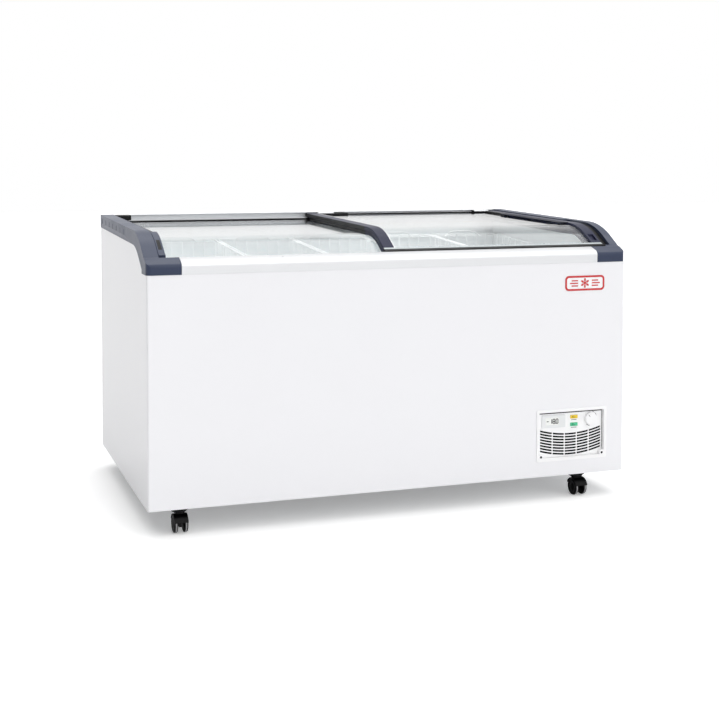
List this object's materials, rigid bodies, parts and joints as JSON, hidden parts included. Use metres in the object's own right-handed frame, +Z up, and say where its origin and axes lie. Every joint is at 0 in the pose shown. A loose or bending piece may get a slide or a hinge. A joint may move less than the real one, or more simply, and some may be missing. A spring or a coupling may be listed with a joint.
{
  "type": "sliding-lid display freezer",
  "caption": "Chest display freezer with curved sliding glass lids, slate end caps, wire baskets, lower-right service panel and swivel casters.",
  "frame": {"origin": "on the floor, under the middle of the cabinet", "axes": "+Z up, -Y towards the customer at the front, +X along the cabinet to the right as seen from the front"},
  "size_m": [1.5, 0.82, 0.8552],
  "materials": {
    "skin_white": "satin",
    "zinc_sheet": "satin",
    "liner_white": "satin",
    "foam": "matte",
    "copper": "satin",
    "rail_grey": "satin",
    "rear_rail_white": "satin",
    "cap_blue_grey": "satin",
    "black_plastic": "matte",
    "frame_grey": "satin",
    "lid_glass": "gloss",
    "wire_white": "satin",
    "panel_white": "satin",
    "display_grey": "satin",
    "lens_clear": "gloss",
    "lamp_yellow": "gloss",
    "lamp_green": "gloss",
    "screw_steel": "satin",
    "badge_red": "gloss",
    "compressor_black": "satin",
    "rubber_black": "matte",
    "aluminium_fin": "satin",
    "fan_white": "satin",
    "caster_black": "satin",
    "caster_steel": "satin"
  },
  "bodies": {
    "cabinet": {"outer_wrap": "skin_white", "back_panel": "zinc_sheet", "base_pan": "zinc_sheet", "inner_liner": "liner_white", "evaporator_coil": "copper", "foam_insulation": "foam", "front_rail": "rail_grey", "rear_rail": "rear_rail_white", "rear_rail_stop": "black_plastic", "left_end_cap": "cap_blue_grey", "right_end_cap": "cap_blue_grey", "basket_ledges": "liner_white", "panel_bezel": "panel_white", "grille_panel": "panel_white", "display_module": "display_grey", "display_lens": "lens_clear", "power_lamp": "lamp_yellow", "compressor_lamp": "lamp_green", "panel_screws": "screw_steel", "thermostat_body": "black_plastic", "badge_plate": "badge_red", "compressor": "compressor_black", "compressor_mounts": "rubber_black", "relay_box": "black_plastic", "condenser": "aluminium_fin", "fan_shroud": "zinc_sheet", "fan_motor": "compressor_black", "filter_drier": "copper", "discharge_tube": "copper", "suction_tube": "copper", "mains_gland": "black_plastic", "drain_tube": "black_plastic", "caster_plates": "caster_steel", "right_cap_track": "black_plastic"},
    "left_lid": {"left_lid_outer_frame": "frame_grey", "left_lid_inner_frame": "frame_grey", "left_lid_glass": "lid_glass", "left_lid_front_profile": "black_plastic", "left_lid_rear_profile": "black_plastic"},
    "right_lid": {"right_lid_outer_frame": "frame_grey", "right_lid_inner_frame": "frame_grey", "right_lid_glass": "lid_glass", "right_lid_front_profile": "black_plastic", "right_lid_rear_profile": "black_plastic"},
    "basket_1": {"basket_1": "wire_white"},
    "basket_2": {"basket_2": "wire_white"},
    "basket_3": {"basket_3": "wire_white"},
    "basket_4": {"basket_4": "wire_white"},
    "basket_5": {"basket_5": "wire_white"},
    "drain_plug": {"drain_plug": "rubber_black"},
    "thermostat_knob": {"thermostat_knob": "panel_white"},
    "fan_blade": {"fan_blade": "fan_white"},
    "caster_fork_front_left": {"caster_fork_front_left": "caster_black"},
    "caster_wheels_front_left": {"caster_wheels_front_left": "caster_black"},
    "caster_fork_front_right": {"caster_fork_front_right": "caster_black"},
    "caster_wheels_front_right": {"caster_wheels_front_right": "caster_black"},
    "caster_fork_rear_left": {"caster_fork_rear_left": "caster_black"},
    "caster_wheels_rear_left": {"caster_wheels_rear_left": "caster_black"},
    "caster_fork_rear_right": {"caster_fork_rear_right": "caster_black"},
    "caster_wheels_rear_right": {"caster_wheels_rear_right": "caster_black"}
  },
  "joints": [
    {"name": "left_lid_slide", "type": "slide", "parent": "cabinet", "child": "left_lid", "axis": [1, 0, 0], "range_m": [0, 0.605]},
    {"name": "right_lid_slide", "type": "slide", "parent": "cabinet", "child": "right_lid", "axis": [1, 0, 0], "range_m": [-0.605, 0]},
    {"name": "basket_1_lift", "type": "slide", "parent": "cabinet", "child": "basket_1", "axis": [0, 0, 1], "range_m": [0, 0.015]},
    {"name": "basket_2_lift", "type": "slide", "parent": "cabinet", "child": "basket_2", "axis": [0, 0, 1], "range_m": [0, 0.015]},
    {"name": "basket_3_lift", "type": "slide", "parent": "cabinet", "child": "basket_3", "axis": [0, 0, 1], "range_m": [0, 0.015]},
    {"name": "basket_4_lift", "type": "slide", "parent": "cabinet", "child": "basket_4", "axis": [0, 0, 1], "range_m": [0, 0.015]},
    {"name": "basket_5_lift", "type": "slide", "parent": "cabinet", "child": "basket_5", "axis": [0, 0, 1], "range_m": [0, 0.015]},
    {"name": "drain_plug_pull", "type": "slide", "parent": "cabinet", "child": "drain_plug", "axis": [0, 0, 1], "range_m": [0, 0.06]},
    {"name": "thermostat_knob_turn", "type": "hinge", "parent": "cabinet", "child": "thermostat_knob", "pos_m": [0.638, -0.4, 0.24], "axis": [0, 1, 0], "range_deg": [0, 270]},
    {"name": "condenser_fan_spin", "type": "hinge", "parent": "cabinet", "child": "fan_blade", "pos_m": [0.578, -0.268, 0.158], "axis": [0, 1, 0], "continuous": true},
    {"name": "front_left_swivel", "type": "hinge", "parent": "cabinet", "child": "caster_fork_front_left", "pos_m": [-0.654, -0.367, 0.07], "axis": [0, 0, 1], "continuous": true},
    {"name": "front_left_roll", "type": "hinge", "parent": "caster_fork_front_left", "child": "caster_wheels_front_left", "pos_m": [-0.654, -0.38, 0.025], "axis": [1, 0, 0], "continuous": true},
    {"name": "front_right_swivel", "type": "hinge", "parent": "cabinet", "child": "caster_fork_front_right", "pos_m": [0.606, -0.367, 0.07], "axis": [0, 0, 1], "continuous": true},
    {"name": "front_right_roll", "type": "hinge", "parent": "caster_fork_front_right", "child": "caster_wheels_front_right", "pos_m": [0.606, -0.38, 0.025], "axis": [1, 0, 0], "continuous": true},
    {"name": "rear_left_swivel", "type": "hinge", "parent": "cabinet", "child": "caster_fork_rear_left", "pos_m": [-0.654, 0.367, 0.07], "axis": [0, 0, 1], "continuous": true},
    {"name": "rear_left_roll", "type": "hinge", "parent": "caster_fork_rear_left", "child": "caster_wheels_rear_left", "pos_m": [-0.654, 0.38, 0.025], "axis": [1, 0, 0], "continuous": true},
    {"name": "rear_right_swivel", "type": "hinge", "parent": "cabinet", "child": "caster_fork_rear_right", "pos_m": [0.606, 0.367, 0.07], "axis": [0, 0, 1], "continuous": true},
    {"name": "rear_right_roll", "type": "hinge", "parent": "caster_fork_rear_right", "child": "caster_wheels_rear_right", "pos_m": [0.606, 0.38, 0.025], "axis": [1, 0, 0], "continuous": true}
  ]
}
